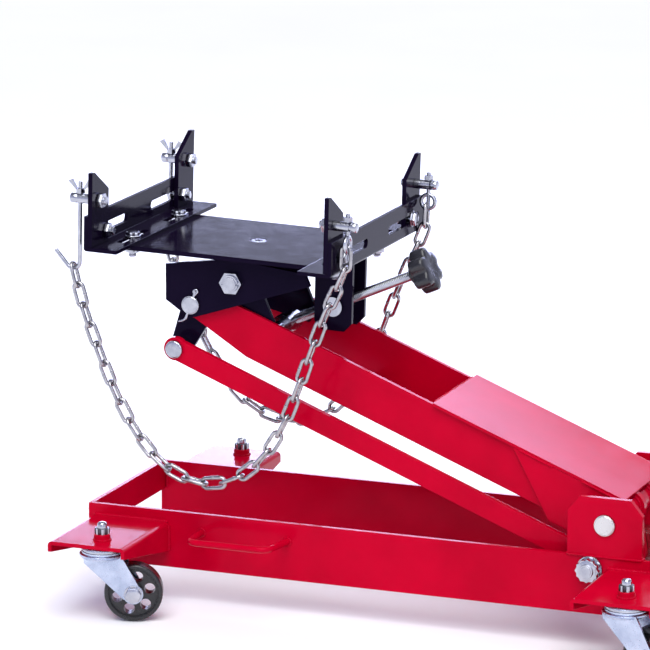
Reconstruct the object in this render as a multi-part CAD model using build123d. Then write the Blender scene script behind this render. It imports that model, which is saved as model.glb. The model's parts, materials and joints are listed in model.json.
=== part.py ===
from build123d import *
import math
import os

# Transmission jack: a wheeled low frame, a lifting arm with a parallelogram that keeps
# the saddle level, a tilting saddle with four posts and two restraint chains, and a
# hydraulic unit at the rear.  Millimetres, +X to the rear, +Z up.  The model is drawn
# with x = 0 at the front of the frame and y = 0 in the middle, and is moved in X at the
# end so that the origin is on the floor under the middle of the outline.

# ---------------------------------------------------------------- driving dimensions
FRAME_LENGTH = 960.0
FRAME_HALF_WIDTH = 122.0
RAIL_THICKNESS = 6.0
RAIL_TOP = 121.0
RAIL_BOTTOM = 45.0

WHEEL_DIAMETER = 76.0
WHEEL_WIDTH = 24.0
CASTER_TRAIL = 40.0
STEM_FROM_EDGE = 63.0
STEM_Y = 234.0
CASTER_TURN = {"front_left": 21.0, "front_right": -9.0, "rear_left": -14.0, "rear_right": 12.0}
OUTRIGGER_TOP = 106.6
OUTRIGGER_LENGTH = 108.0
OUTRIGGER_REACH = 144.0
FRONT_OUTRIGGER_X = 7.0
REAR_OUTRIGGER_X = 716.0

PIVOT_X = 713.5
PIVOT_Z = 162.5
ARM_LENGTH = 623.5
ARM_ANGLE = 21.6
LINK_OFFSET_X = -19.0
LINK_OFFSET_Z = -58.5
SHAFT_RADIUS = 13.5
HUB_DISC = 26.0

CRANK_RADIUS = 60.0
CRANK_LEAN = 9.25
RAM_Z = 106.5

SADDLE_TILT = 1.5
DECK_TOP = 465.0
DECK_HALF_WIDTH = 109.0
BRACKET_HALF_LENGTH = 166.0
POST_TIP_Z = 568.0
BARREL_Z = 530.0
POST_Y = 140.0
POST_HALF_WIDTH = 26.0
POST_BOLT_Y = 125.0
BARREL_Y = 147.0
BOLT_OUT = 14.0
FRONT_BRACKET_X = 16.0
REAR_BRACKET_X = 359.0

CHAIN_WIRE = 5.0
CHAIN_LINK_WIDTH = 18.5
CHAIN_LINK_LENGTH = 37.6

HANDLE_LEAN = 30.0

RUN = 0.06
FREE = 0.3

# ---------------------------------------------------------------- worked-out places
ARM_COS = math.cos(math.radians(ARM_ANGLE))
ARM_SIN = math.sin(math.radians(ARM_ANGLE))
HEAD_X = PIVOT_X - ARM_LENGTH * ARM_COS
HEAD_Z = PIVOT_Z + ARM_LENGTH * ARM_SIN
LINK_REAR_X = PIVOT_X + LINK_OFFSET_X
LINK_REAR_Z = PIVOT_Z + LINK_OFFSET_Z
LINK_FRONT_X = HEAD_X + LINK_OFFSET_X
LINK_FRONT_Z = HEAD_Z + LINK_OFFSET_Z
HINGE_X = HEAD_X + 58.0
HINGE_Z = HEAD_Z + 34.0
ANCHOR_X = HEAD_X + 100.0
ANCHOR_Z = HEAD_Z - 33.5
TRUNNION_X = HEAD_X + 175.0
SCREW_ANGLE = 23.8
TRUNNION_Z = ANCHOR_Z + (TRUNNION_X - ANCHOR_X) * math.tan(math.radians(SCREW_ANGLE))
DECK_BOTTOM = DECK_TOP - 6.0
HALF = FRAME_HALF_WIDTH

parts = {}


def add(name, *solids):
    """Keep one node: one solid, or a group of separate solids."""
    parts.setdefault(name, []).extend(solids)


def box(x0, x1, y0, y1, z0, z1):
    size = (x1 - x0, y1 - y0, z1 - z0)
    middle = ((x0 + x1) / 2, (y0 + y1) / 2, (z0 + z1) / 2)
    return Pos(*middle) * Box(*size)


def rod(start, end, radius):
    """A round bar between two points."""
    start = Vector(*start)
    end = Vector(*end)
    plane = Plane(origin=start, z_dir=end - start)
    return extrude(plane * Circle(radius), (end - start).length)


def rod_y(x, z, y0, y1, radius):
    return rod((x, min(y0, y1), z), (x, max(y0, y1), z), radius)


def hexagon_y(x, z, y0, y1, flats):
    plane = Plane(origin=(x, min(y0, y1), z), x_dir=(1, 0, 0), z_dir=(0, 1, 0))
    return extrude(plane * RegularPolygon(flats / 2, 6, major_radius=False), abs(y1 - y0))


def hexagon_z(x, y, z0, z1, flats):
    return Pos(x, y, z0) * extrude(RegularPolygon(flats / 2, 6, major_radius=False), z1 - z0)


def hexagon_x(y, z, x0, x1, flats):
    plane = Plane(origin=(min(x0, x1), y, z), x_dir=(0, 1, 0), z_dir=(1, 0, 0))
    return extrude(plane * RegularPolygon(flats / 2, 6, major_radius=False), abs(x1 - x0))


def plate_y(points, y0, y1, discs=()):
    """A plate square to Y: an outline of (x, z) points joined with round ends (x, z, r)."""
    plane = Plane(origin=(0, max(y0, y1), 0), x_dir=(1, 0, 0), z_dir=(0, -1, 0))
    outline = Polygon(*points, align=None)
    for x, z, radius in discs:
        outline += Pos(x, z) * Circle(radius)
    return extrude(plane * outline, abs(y1 - y0), dir=(0, -1, 0))


def plate_x(points, x0, x1):
    """A plate square to X with an outline of (y, z) points."""
    plane = Plane(origin=(x0, 0, 0), x_dir=(0, 1, 0), z_dir=(1, 0, 0))
    return extrude(plane * Polygon(*points, align=None), x1 - x0, dir=(1, 0, 0))


def bent_bar(points, radius, bend):
    path = FilletPolyline(*points, radius=bend)
    section = Plane(origin=path @ 0, z_dir=path % 0) * Circle(radius)
    return sweep(section, path=path)


def along_arm(s, t):
    """World (x, z) of a point s along the arm from its pivot and t above the pin line."""
    return (PIVOT_X - s * ARM_COS + t * ARM_SIN, PIVOT_Z + s * ARM_SIN + t * ARM_COS)


def tilted(shape):
    """Saddle pieces are drawn level and then leaned about the tilt hinge."""
    return shape.rotate(Axis((HINGE_X, 0, HINGE_Z), (0, 1, 0)), SADDLE_TILT)


# ---------------------------------------------------------------- frame
def make_frame():
    bolt_hole = rod_y(LINK_REAR_X, LINK_REAR_Z, -200, 200, 9.0 + FREE)
    for name, side in (("left_rail", -1), ("right_rail", 1)):
        inner = side * (HALF - RAIL_THICKNESS)
        outer = side * HALF
        rail = box(0, FRAME_LENGTH, min(inner, outer), max(inner, outer), RAIL_BOTTOM, RAIL_TOP)
        add(name, rail - bolt_hole)
    between = HALF - RAIL_THICKNESS
    add("cross_plates", box(0, 6, -between, between, 82, RAIL_TOP))
    add("cross_plates", box(FRAME_LENGTH - 6, FRAME_LENGTH, -between, between, RAIL_BOTTOM, RAIL_TOP))

    for side in (-1, 1):
        ear_outline = [(664, RAIL_TOP), (664, 178), (680, 197.5), (747, 197.5), (763, 178), (763, RAIL_TOP)]
        ear = plate_y(ear_outline, side * HALF, side * (HALF - 8))
        add("pivot_ears", ear - rod_y(PIVOT_X, PIVOT_Z, -200, 200, SHAFT_RADIUS + FREE))
        near = side * HALF
        far = side * (HALF + 50)
        corners = [(161, near, 96.5), (163, far, 96.5), (273, far, 96.5), (282, near, 96.5)]
        rail = box(0, FRAME_LENGTH, -HALF, HALF, RAIL_BOTTOM, RAIL_TOP)
        add("grab_handles", bent_bar(corners, 4.5, 13) - rail)

    # The shaft is held by the ears; its ends stand 2 mm proud of them.
    add("arm_shaft", rod_y(PIVOT_X, PIVOT_Z, -HALF - 3, HALF + 3, SHAFT_RADIUS))
    for side in (-1, 1):
        shank = rod_y(LINK_REAR_X, LINK_REAR_Z, side * 84, side * 139, 9.0)
        head = hexagon_y(LINK_REAR_X, LINK_REAR_Z, side * 84, side * 89.6, 27)
        washer = rod_y(LINK_REAR_X, LINK_REAR_Z, side * HALF, side * (HALF + 3), 16.5)
        nut = hexagon_y(LINK_REAR_X, LINK_REAR_Z, side * (HALF + 3), side * (HALF + 14), 27)
        add("link_pivot_bolts", shank + head + washer + nut)


def make_outrigger(name, x0, side):
    """An inverted channel welded to the rail, its flanges deeper at the rail."""
    x1 = x0 + OUTRIGGER_LENGTH
    root = side * HALF
    tip = side * (HALF + OUTRIGGER_REACH)
    top = OUTRIGGER_TOP
    outer = plate_x([(root, top), (tip, top), (tip, top - 14), (root, top - 40)], x0, x1)
    long_edges = outer.edges().filter_by(Axis.Y).group_by(Axis.Z)[-1]
    outer = fillet(long_edges, 6)
    sheet = 5.0
    low = top - sheet
    hollow = [(root - side, low), (tip + side, low), (tip + side, top - 60), (root - side, top - 60)]
    inner = plate_x(hollow, x0 + sheet, x1 - sheet)
    hole = Pos(x0 + STEM_FROM_EDGE, side * STEM_Y, top) * Cylinder(8.0 + FREE, 40)
    add(name, outer - inner - hole)


def make_caster(name, x0, side):
    """Stud, swivel fork with its axle bolt, and wheel; the wheel trails behind the stud."""
    stem_x = x0 + STEM_FROM_EDGE
    y = side * STEM_Y
    plate_under = OUTRIGGER_TOP - 5.0
    top = OUTRIGGER_TOP
    stud = Pos(stem_x, y, 84.0) * extrude(Circle(8.0), top - 84.0)
    stud += Pos(stem_x, y, 78.0) * extrude(Circle(13.0), 6.0)
    stud += Pos(stem_x, y, plate_under - 8.0) * extrude(Circle(26.0), 8.0)
    stud += Pos(stem_x, y, top) * extrude(Circle(10.0), 8.0)
    stud += hexagon_z(stem_x, y, top + 8, top + 16, 17)
    dome = Pos(stem_x, y, top + 16) * extrude(Circle(6.5), 8.0)
    stud += fillet(dome.edges().group_by(Axis.Z)[-1], 4)
    add("caster_studs", stud)

    radius = WHEEL_DIAMETER / 2
    axle_x = stem_x + CASTER_TRAIL
    crown_low = 84.0 + FREE
    crown = Pos(stem_x, y, crown_low) * extrude(Circle(27.0), plate_under - 8.0 - FREE - crown_low)
    fork = crown
    for cheek in (-1, 1):
        leg = [(stem_x - 24, crown_low + 5), (stem_x - 23, crown_low - 4), (axle_x - 12, radius - 7),
               (axle_x + 11, radius + 4), (stem_x + 25, crown_low + 5)]
        fork += plate_y(leg, y + cheek * 15, y + cheek * 18, [(axle_x, radius, 13)])
    fork -= Pos(stem_x, y, 90) * Cylinder(8.0 + RUN, 60)
    fork -= rod_y(axle_x, radius, y - 30, y + 30, 6.0 + FREE)
    axle = rod_y(axle_x, radius, y - 24, y + 23, 6.0)
    axle += hexagon_y(axle_x, radius, y + side * 18, y + side * 24, 18)
    axle += hexagon_y(axle_x, radius, y - side * 18, y - side * 23, 18)

    wheel = rod_y(axle_x, radius, y - WHEEL_WIDTH / 2, y + WHEEL_WIDTH / 2, radius)
    wheel = fillet(wheel.edges(), 3.5)
    for face in (-1, 1):
        ring = rod_y(axle_x, radius, y + face * 8.5, y + face * 14, 31.5)
        ring -= rod_y(axle_x, radius, y + face * 8, y + face * 15, 13)
        wheel -= ring
    for k in range(6):
        angle = math.radians(60 * k + 15)
        hole_x = axle_x + 21.7 * math.cos(angle)
        hole_z = radius + 21.7 * math.sin(angle)
        wheel -= rod_y(hole_x, hole_z, y - 20, y + 20, 7.2)
    wheel += rod_y(axle_x, radius, y - 14, y + 14, 12)
    wheel -= rod_y(axle_x, radius, y - 20, y + 20, 6.0 + RUN)

    swivel = Axis((stem_x, y, 0), (0, 0, 1))
    turn = CASTER_TURN[name]
    add(name + "_caster_fork", fork.rotate(swivel, turn), axle.rotate(swivel, turn))
    add(name + "_caster_wheel", wheel.rotate(swivel, turn))


# ---------------------------------------------------------------- lifting arm
def make_arm():
    top = 24.0
    low = -34.0
    head = ARM_LENGTH
    outline = [(0, top), (head - 10, top), (head + 16, 9), (head + 16, -9), (head - 4, -17.5),
               (head - 92, low), (-6, low), (-HUB_DISC, -14), (-HUB_DISC, 8), (-12, top)]
    world = [along_arm(s, t) for s, t in outline]
    discs = [(HEAD_X, HEAD_Z, 19.5)]
    pin_hole = rod_y(HEAD_X, HEAD_Z, -200, 200, 12.0 + FREE)
    hub_hole = rod_y(PIVOT_X, PIVOT_Z, -200, 200, 18.0 + FREE)
    for name, side in (("left_arm_plate", -1), ("right_arm_plate", 1)):
        plate = plate_y(world, side * 71.5, side * 77.5, discs)
        add(name, plate - pin_hole - hub_hole)

    def web(s0, s1, t0, t1, half):
        corners = [along_arm(s0, t0), along_arm(s1, t0), along_arm(s1, t1), along_arm(s0, t1)]
        return plate_y(corners, -half, half)

    add("arm_floor_plate", web(55, 400, low, low + 5, 71.5))
    add("arm_cover_plate", web(-4, 275, top, top + 4, 83.5))

    cheek = [(-10, top - 0.5), (156, top - 0.5), (77, -44), (-4, -44), (-HUB_DISC, -18), (-HUB_DISC, 8)]
    for side in (-1, 1):
        doubler = plate_y([along_arm(s, t) for s, t in cheek], side * 77.5, side * 83.5)
        add("arm_doublers", doubler - hub_hole)

    hub = rod_y(PIVOT_X, PIVOT_Z, -112, 112, 18.0)
    bore = rod_y(PIVOT_X, PIVOT_Z, -130, 130, SHAFT_RADIUS + RUN)
    add("arm_hub", hub - bore)

    lean = math.radians(CRANK_LEAN)
    crank_x = PIVOT_X + CRANK_RADIUS * math.sin(lean)
    crank_z = PIVOT_Z - CRANK_RADIUS * math.cos(lean)
    side_x = math.cos(lean) * 16
    side_z = math.sin(lean) * 16
    strap = [(PIVOT_X - side_x, PIVOT_Z - side_z), (PIVOT_X + side_x, PIVOT_Z + side_z),
             (crank_x + side_x, crank_z + side_z), (crank_x - side_x, crank_z - side_z)]
    for side in (-1, 1):
        discs = [(PIVOT_X, PIVOT_Z, 23.7), (crank_x, crank_z, 16)]
        cheek_plate = plate_y(strap, side * 21, side * 31, discs)
        cheek_plate -= hub_hole
        cheek_plate -= rod_y(crank_x, crank_z, -60, 60, 8.0 + FREE)
        add("lift_crank", cheek_plate)
    crank_pin = rod_y(crank_x, crank_z, -33, 33, 8.0)
    crank_pin += rod_y(crank_x, crank_z, 31, 35, 12.0)
    crank_pin += rod_y(crank_x, crank_z, -35, -31, 12.0)
    add("lift_crank", crank_pin)

    pin = rod_y(HEAD_X, HEAD_Z, -91.5, 91.5, 12.0)
    for side in (-1, 1):
        cotter = rod((HEAD_X + 7, side * 89.6, HEAD_Z + 19), (HEAD_X - 7, side * 89.6, HEAD_Z - 19), 1.6)
        pin += cotter
    add("arm_head_pin", pin)


def make_links():
    length = ARM_LENGTH
    half = 14.0
    for side in (-1, 1):
        corners = []
        for s, t in ((0, half), (length, half), (length, -half), (0, -half)):
            x = LINK_REAR_X - s * ARM_COS + t * ARM_SIN
            z = LINK_REAR_Z + s * ARM_SIN + t * ARM_COS
            corners.append((x, z))
        discs = [(LINK_REAR_X, LINK_REAR_Z, 15.5), (LINK_FRONT_X, LINK_FRONT_Z, 15.5)]
        link = plate_y(corners, side * 90, side * 98, discs)
        link -= rod_y(LINK_REAR_X, LINK_REAR_Z, -150, 150, 9.0 + RUN)
        link -= rod_y(LINK_FRONT_X, LINK_FRONT_Z, -150, 150, 8.0 + RUN)
        add("lower_links", link)


# ---------------------------------------------------------------- head and tilt screw
def make_head():
    x = HEAD_X
    z = HEAD_Z
    hinge_hole = rod_y(HINGE_X, HINGE_Z, -200, 200, 9.0 + FREE)
    pin_hole = rod_y(HEAD_X, HEAD_Z, -200, 200, 12.0 + RUN)
    outer = [(x - 36, z + 52), (x - 36, z + 4), (x - 6, z - 16), (x + 6, z - 16), (x + 166, z + 37),
             (x + 159, z + 53), (x + 82, z + 62), (x + 36, z + 62)]
    for side in (-1, 1):
        plate = plate_y(outer, side * 81, side * 87, [(HEAD_X, HEAD_Z, 17)])
        add("head_plates", plate - hinge_hole - pin_hole)

    inner = [(x - 20, z + 40), (x - 22, z - 10), (LINK_FRONT_X - 15, LINK_FRONT_Z + 8),
             (LINK_FRONT_X + 15, LINK_FRONT_Z - 2), (x + 18, z - 26), (ANCHOR_X + 4, ANCHOR_Z - 14),
             (ANCHOR_X + 14, ANCHOR_Z + 4), (HINGE_X + 24, HINGE_Z + 12), (HINGE_X + 8, HINGE_Z + 18)]
    link_hole = rod_y(LINK_FRONT_X, LINK_FRONT_Z, -200, 200, 8.0 + FREE)
    anchor_hole = rod_y(ANCHOR_X, ANCHOR_Z, -200, 200, 8.0 + RUN)
    for side in (-1, 1):
        cheek = plate_y(inner, side * 65, side * 71, [(LINK_FRONT_X, LINK_FRONT_Z, 15)])
        add("head_coupler", cheek - hinge_hole - pin_hole - link_hole - anchor_hole)
    spreader = rod_y(HEAD_X, HEAD_Z, -64.9, 64.9, 18.0) - rod_y(HEAD_X, HEAD_Z, -70, 70, 12.0 + RUN)
    add("head_coupler", spreader)

    for side in (-1, 1):
        pin = rod_y(LINK_FRONT_X, LINK_FRONT_Z, side * 63, side * 101, 8.0)
        pin += rod_y(LINK_FRONT_X, LINK_FRONT_Z, side * 98.4, side * 103, 11.5)
        pin += rod_y(LINK_FRONT_X, LINK_FRONT_Z, side * 71.3, side * 89.6, 11.0)
        add("link_front_pins", pin)

    bolt = rod_y(HINGE_X, HINGE_Z, -99, 99, 9.0)
    for side in (-1, 1):
        nut = hexagon_y(HINGE_X, HINGE_Z, side * 87, side * 95, 27)
        crown = rod_y(HINGE_X, HINGE_Z, side * 95, side * 98, 11.5)
        crown -= box(HINGE_X - 20, HINGE_X + 20, -100, 100, HINGE_Z - 1.5, HINGE_Z + 1.5)
        bolt += nut
        bolt += crown
    add("tilt_hinge_bolt", bolt)


def make_tilt_screw():
    angle = math.radians(SCREW_ANGLE)
    ux = math.cos(angle)
    uz = math.sin(angle)

    def on_screw(distance):
        return (ANCHOR_X + distance * ux, 0, ANCHOR_Z + distance * uz)

    # The cross pin in the coupler lets the screw swing; the screw turns in its boss.
    anchor = rod_y(ANCHOR_X, ANCHOR_Z, -71, 71, 8.0)
    anchor += rod_y(ANCHOR_X, ANCHOR_Z, -20, 20, 14.0)
    anchor -= rod(on_screw(-30), on_screw(30), 6.0 + RUN)
    add("screw_anchor", anchor)

    screw = rod(on_screw(-17.5), on_screw(17), 6.0)
    screw += rod(on_screw(16), on_screw(198), 6.5)
    screw += rod(on_screw(-24), on_screw(-17.5), 9.5)
    add("tilt_screw", screw)

    knob_plane = Plane(origin=on_screw(199), x_dir=(0, 1, 0), z_dir=(ux, 0, uz))
    star = Circle(25)
    lobes = 6
    for k in range(lobes):
        turn = 2 * math.pi * k / lobes
        star += Pos(25 * math.cos(turn), 25 * math.sin(turn)) * Circle(5.5)
        notch = turn + math.pi / lobes
        star -= Pos(30 * math.cos(notch), 30 * math.sin(notch)) * Circle(7.5)
    knob = extrude(knob_plane * star, 22)
    knob = fillet(knob.edges().filter_by(GeomType.LINE, reverse=True), 2.0)
    collar = extrude(knob_plane * Circle(12), -8)
    knob = knob + collar - rod(on_screw(180), on_screw(198 + FREE), 6.5 + FREE)
    add("tilt_knob", knob)

    trunnion = rod_y(TRUNNION_X, TRUNNION_Z, -30, 30, 9.0)
    trunnion += rod_y(TRUNNION_X, TRUNNION_Z, -19.5, 19.5, 15.0)
    for side in (-1, 1):
        trunnion += rod_y(TRUNNION_X, TRUNNION_Z, side * 26.3, side * 31, 13.0)
    reach = TRUNNION_X - ANCHOR_X
    middle = reach / ux
    trunnion -= rod(on_screw(middle - 30), on_screw(middle + 30), 8.0)
    add("trunnion", trunnion)


# ---------------------------------------------------------------- saddle
def make_saddle():
    deck = box(42, 340, -DECK_HALF_WIDTH, DECK_HALF_WIDTH, DECK_BOTTOM, DECK_TOP)
    corner_edges = deck.edges().filter_by(Axis.Z)
    deck = fillet(corner_edges, 6)
    deck -= Pos(HINGE_X, 0, DECK_TOP) * Cylinder(11.3, 30)
    for x in (FRONT_BRACKET_X + 29, REAR_BRACKET_X - 29):
        for y in (-75, 75):
            deck -= Pos(x, y, DECK_TOP) * Cylinder(5.0 + FREE, 30)
    lug = [(HINGE_X - 42, DECK_BOTTOM), (HINGE_X + 42, DECK_BOTTOM),
           (HINGE_X + 17, HINGE_Z - 2), (HINGE_X - 17, HINGE_Z - 2)]
    for side in (-1, 1):
        cheek = plate_y(lug, side * 56, side * 62, [(HINGE_X, HINGE_Z, 17)])
        deck += cheek - rod_y(HINGE_X, HINGE_Z, -80, 80, 9.0 + RUN)
    add("saddle_deck", tilted(deck))

    outline = [(TRUNNION_X - 26, DECK_BOTTOM), (TRUNNION_X - 26, 373), (TRUNNION_X - 16, 362),
               (TRUNNION_X + 16, 362), (TRUNNION_X + 26, 373), (TRUNNION_X + 26, DECK_BOTTOM)]
    clevis = box(TRUNNION_X - 26, TRUNNION_X + 26, -26, 26, DECK_BOTTOM - 5, DECK_BOTTOM)
    for side in (-1, 1):
        clevis += plate_y(outline, side * 20, side * 26)
    # The trunnion bore is cut in the leaned piece, on the trunnion's own axis.
    clevis = tilted(clevis) - rod_y(TRUNNION_X, TRUNNION_Z, -40, 40, 9.0 + RUN)
    add("trunnion_clevis", clevis)

    boss = Pos(HINGE_X, 0, DECK_TOP - 8) * extrude(Circle(11.0), 8)
    boss += Pos(HINGE_X, 0, DECK_BOTTOM - 10) * extrude(RegularPolygon(12, 6, major_radius=False), 10)
    boss = chamfer(boss.edges().group_by(Axis.Z)[-1], 1.5)
    socket = Pos(HINGE_X, 0, DECK_TOP - 5) * extrude(RegularPolygon(5, 6, major_radius=False), 6)
    add("saddle_bolts", tilted(boss - socket))


def make_bracket(name, face_x, inward):
    """An angle bracket across the saddle: upright flange outside, foot on the deck."""
    length = BRACKET_HALF_LENGTH
    top = DECK_TOP + 46.0
    sheet = 5.0
    upright = box(min(face_x, face_x + inward * sheet), max(face_x, face_x + inward * sheet),
                  -length, length, DECK_TOP, top)
    foot = box(min(face_x, face_x + inward * 46), max(face_x, face_x + inward * 46),
               -length, length, DECK_TOP, DECK_TOP + sheet)
    bracket = upright + foot
    for side in (-1, 1):
        slot_high = DECK_TOP + 22.0
        slot = box(face_x - 12, face_x + 12, -56.5, 56.5, slot_high - 6, slot_high + 6)
        slot = fillet(slot.edges().filter_by(Axis.X), 5.9)
        bracket -= Pos(0, side * 94, 0) * slot
        foot_slot = box(-5.2, 5.2, -45, 45, DECK_TOP - 3, DECK_TOP + 8)
        foot_slot = fillet(foot_slot.edges().filter_by(Axis.Z), 5.1)
        bracket -= Pos(face_x + inward * 29, side * 75, 0) * foot_slot
    corner = bracket.edges().filter_by(Axis.Y).filter_by_position(Axis.X, face_x - 0.1, face_x + 0.1)
    corner = corner.filter_by_position(Axis.Z, DECK_TOP - 0.1, DECK_TOP + 0.1)
    bracket = fillet(corner, 4.0)
    add(name, tilted(bracket))
    for side in (-1, 1):
        x = face_x + inward * 29
        y = side * 75
        bolt = Pos(x, y, DECK_BOTTOM - 12) * extrude(Circle(5.0), DECK_TOP + sheet - DECK_BOTTOM + 14)
        bolt += hexagon_z(x, y, DECK_TOP + sheet, DECK_TOP + sheet + 6, 16)
        bolt += hexagon_z(x, y, DECK_BOTTOM - 8, DECK_BOTTOM, 16)
        add("saddle_bolts", tilted(bolt))


def make_posts(name, side):
    """Front and rear post of one side with their bolts and cross barrels."""
    for face_x, inward in ((FRONT_BRACKET_X, 1), (REAR_BRACKET_X, -1)):
        x0 = face_x + inward * 5.2
        x1 = x0 + inward * 6.0
        y_out = POST_Y + POST_HALF_WIDTH
        y_in = POST_Y - POST_HALF_WIDTH
        low = DECK_TOP + 5.4
        points = [(y_out, low), (y_out, POST_TIP_Z), (y_out - 8, POST_TIP_Z)]
        points += [(y_in, POST_TIP_Z - 28), (y_in, low)]
        points = [(side * y, z) for y, z in points]
        post = plate_x(points, min(x0, x1), max(x0, x1))
        y = side * BARREL_Y
        bolt_y = side * POST_BOLT_Y
        slot_high = DECK_TOP + 22.0
        post -= rod((x0 - 20, bolt_y, slot_high), (x0 + 20, bolt_y, slot_high), 5.0 + FREE)
        post -= rod((x0 - 20, y, BARREL_Z), (x0 + 20, y, BARREL_Z), 5.0 + RUN)
        add(name + "_posts", tilted(post))

        bolt = rod((face_x - inward * 4, bolt_y, slot_high), (x1 + inward * 13, bolt_y, slot_high), 5.0)
        bolt += hexagon_x(bolt_y, slot_high, face_x - inward * 0.3, face_x - inward * 6.5, 16)
        bolt += hexagon_x(bolt_y, slot_high, x1, x1 + inward * 8, 16)
        add(name + "_post_bolts", tilted(bolt))

        barrel = rod((face_x + inward * 4.8, y, BARREL_Z), (x1 + inward * 12, y, BARREL_Z), 5.0)
        barrel += rod((face_x + inward * 4.8, y, BARREL_Z), (face_x - inward * 26, y, BARREL_Z), 6.5)
        barrel += hexagon_x(y, BARREL_Z, x1 + inward * FREE, x1 + inward * 8.5, 17)
        bolt_x = face_x - inward * BOLT_OUT
        barrel -= Pos(bolt_x, y, BARREL_Z) * Cylinder(2.8 + FREE, 30)
        add(name + "_chain_bolts", tilted(barrel))


# ---------------------------------------------------------------- chains
def chain_route(side):
    """Middle line of a restraint chain, from the hook bolt back to the eye bolt."""
    if side < 0:
        points = [(-7, 446), (5, 396), (26, 342), (49, 284), (80, 228), (119, 187), (157, 171),
                  (193, 170), (229, 184), (260, 213), (285, 252), (305, 300), (323, 352),
                  (341, 400), (356, 434), (372, 465), (373, 484), (373, 497)]
    else:
        points = [(-7, 446), (5, 398), (26, 347), (49, 292), (80, 239), (119, 201), (157, 187),
                  (193, 186), (229, 199), (260, 226), (285, 263), (305, 308), (323, 356),
                  (341, 400), (356, 434), (372, 465), (373, 484), (373, 497)]
    return [(x, side * BARREL_Y, z) for x, z in points]


def levelled(x, z):
    """Where a point of the leaned saddle lies in the level drawing."""
    lean = math.radians(SADDLE_TILT)
    dx = x - HINGE_X
    dz = z - HINGE_Z
    level_x = HINGE_X + dx * math.cos(lean) - dz * math.sin(lean)
    level_z = HINGE_Z + dx * math.sin(lean) + dz * math.cos(lean)
    return level_x, level_z


def chain_link(centre, along, turned):
    """One welded oval link: a round wire swept round two half circles and two straights."""
    bend = (CHAIN_LINK_WIDTH - CHAIN_WIRE) / 2
    straight = CHAIN_LINK_LENGTH - CHAIN_LINK_WIDTH
    sideways = Vector(0, 1, 0)
    if turned:
        sideways = along.cross(sideways).normalized()
    plane = Plane(origin=centre, x_dir=along, z_dir=along.cross(sideways))
    line = SlotOverall(straight + 2 * bend, 2 * bend)
    path = plane * line.wire()
    section = Plane(origin=path @ 0, z_dir=path % 0) * Circle(CHAIN_WIRE / 2)
    return sweep(section, path=path)


def chain_count(route):
    """Whole links that the route takes when they hang with a little play."""
    pitch = CHAIN_LINK_LENGTH - 2 * CHAIN_WIRE - FREE
    return math.ceil(route.length / pitch)


def make_chain(name, side):
    route = Spline(*chain_route(side))
    count = chain_count(route)
    for k in range(count):
        start = route @ (k / count)
        end = route @ ((k + 1) / count)
        along = (end - start).normalized()
        add(name, chain_link((start + end) * 0.5, along, k % 2 == 1))
    print(name, "length", round(route.length, 1), "links", count, "pitch", round(route.length / count, 2))


def make_chain_bolts(name, side):
    """Hook bolt through the front barrel and eye bolt through the rear barrel."""
    y = side * BARREL_Y
    route = chain_route(side)
    # The bolts' round wire sits inside the end links, under their bows.
    curve = Spline(*route)
    pitch = curve.length / chain_count(curve)
    seat = pitch / 2 - (CHAIN_LINK_LENGTH / 2 - CHAIN_WIRE - 2.8 - 1.3)
    front_x = FRONT_BRACKET_X - BOLT_OUT
    low = levelled(route[0][0], route[0][2] - seat)[1]
    hook_points = [(front_x, y, BARREL_Z + 22), (front_x, y, low), (front_x - 14, y, low),
                   (front_x - 34, y, low + 22)]
    hook = bent_bar(hook_points, 2.8, 8)
    wing = hexagon_z(front_x, y, BARREL_Z + 7, BARREL_Z + 13, 11)
    for wing_side in (-1, 1):
        blade = [(front_x + wing_side * 4, BARREL_Z + 9), (front_x + wing_side * 17, BARREL_Z + 22),
                 (front_x + wing_side * 11, BARREL_Z + 25), (front_x + wing_side * 4, BARREL_Z + 13)]
        wing += plate_y(blade, y - 1.5, y + 1.5)
    add(name, tilted(hook + wing))

    # The eye stands across the last link, so its plane depends on the number of links.
    last_turned = chain_count(curve) % 2 == 0
    eye_axis = (1, 0, 0) if last_turned else (0, 1, 0)
    rear_x = REAR_BRACKET_X + BOLT_OUT
    eye_radius = 9.5
    eye_z = levelled(route[-1][0], route[-1][2] - seat)[1] + eye_radius
    shank = rod((rear_x, y, eye_z + eye_radius), (rear_x, y, BARREL_Z + 16), 2.8)
    nut = hexagon_z(rear_x, y, BARREL_Z + 7, BARREL_Z + 13, 11)
    ring = Solid.make_torus(eye_radius, 2.8, Plane(origin=(rear_x, y, eye_z), z_dir=eye_axis))
    add(name, tilted(shank + nut + ring))


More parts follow.
